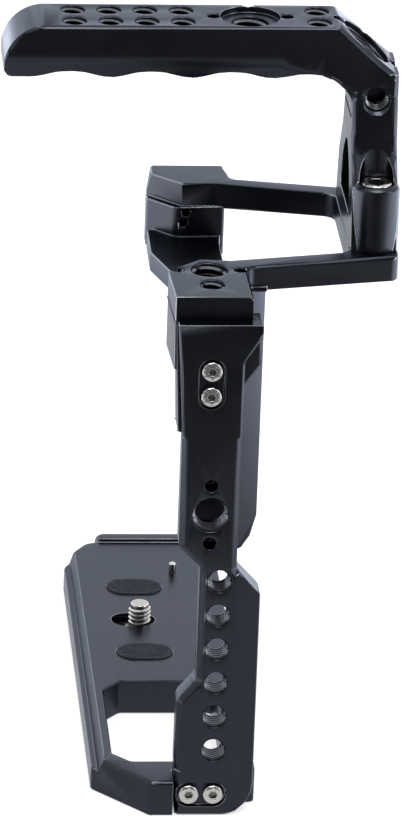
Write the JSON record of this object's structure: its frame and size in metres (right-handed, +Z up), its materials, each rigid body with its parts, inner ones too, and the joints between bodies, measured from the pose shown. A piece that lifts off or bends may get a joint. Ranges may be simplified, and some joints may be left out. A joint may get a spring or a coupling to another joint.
{
  "type": "camera cage",
  "caption": "Half cage for a camera: slotted base plate with a captive screw, drilled side plate, open top frame round the viewfinder hump and a finger-grooved top handle.",
  "frame": {"origin": "middle of the bounding box, on the table that the base plate stands on", "axes": "+Z up, Y along the base plate from its near end (side plate) to its far end, X across it, with the handle's grip reaching to -X"},
  "size_m": [0.1068, 0.1654, 0.2088],
  "materials": {
    "black_anodised": "black anodised, semi-gloss",
    "stainless": "bright stainless steel",
    "clip_steel": "spring steel",
    "pad_rubber": "textured matte rubber"
  },
  "bodies": {
    "cage": {"side_plate": "black_anodised", "top_frame": "black_anodised", "base_plate": "black_anodised", "handle": "black_anodised", "handle_bolt_near": "stainless", "handle_bolt_far": "stainless", "upper_side_screw_top": "stainless", "upper_side_screw_bottom": "stainless", "lower_side_screw_left": "stainless", "lower_side_screw_right": "stainless", "pad_near": "pad_rubber", "pad_far": "pad_rubber", "locating_pin": "stainless"},
    "screw_slider": {"camera_screw_clip": "clip_steel"},
    "camera_screw": {"camera_screw": "stainless"}
  },
  "joints": [
    {"name": "camera_screw_slide", "type": "slide", "parent": "cage", "child": "screw_slider", "axis": [-1, 0, 0], "range_m": [0, 0.0036]},
    {"name": "camera_screw_turn", "type": "hinge", "parent": "screw_slider", "child": "camera_screw", "pos_m": [-0.0078, 0.0242, 0.008], "axis": [0, 0, 1], "continuous": true}
  ]
}
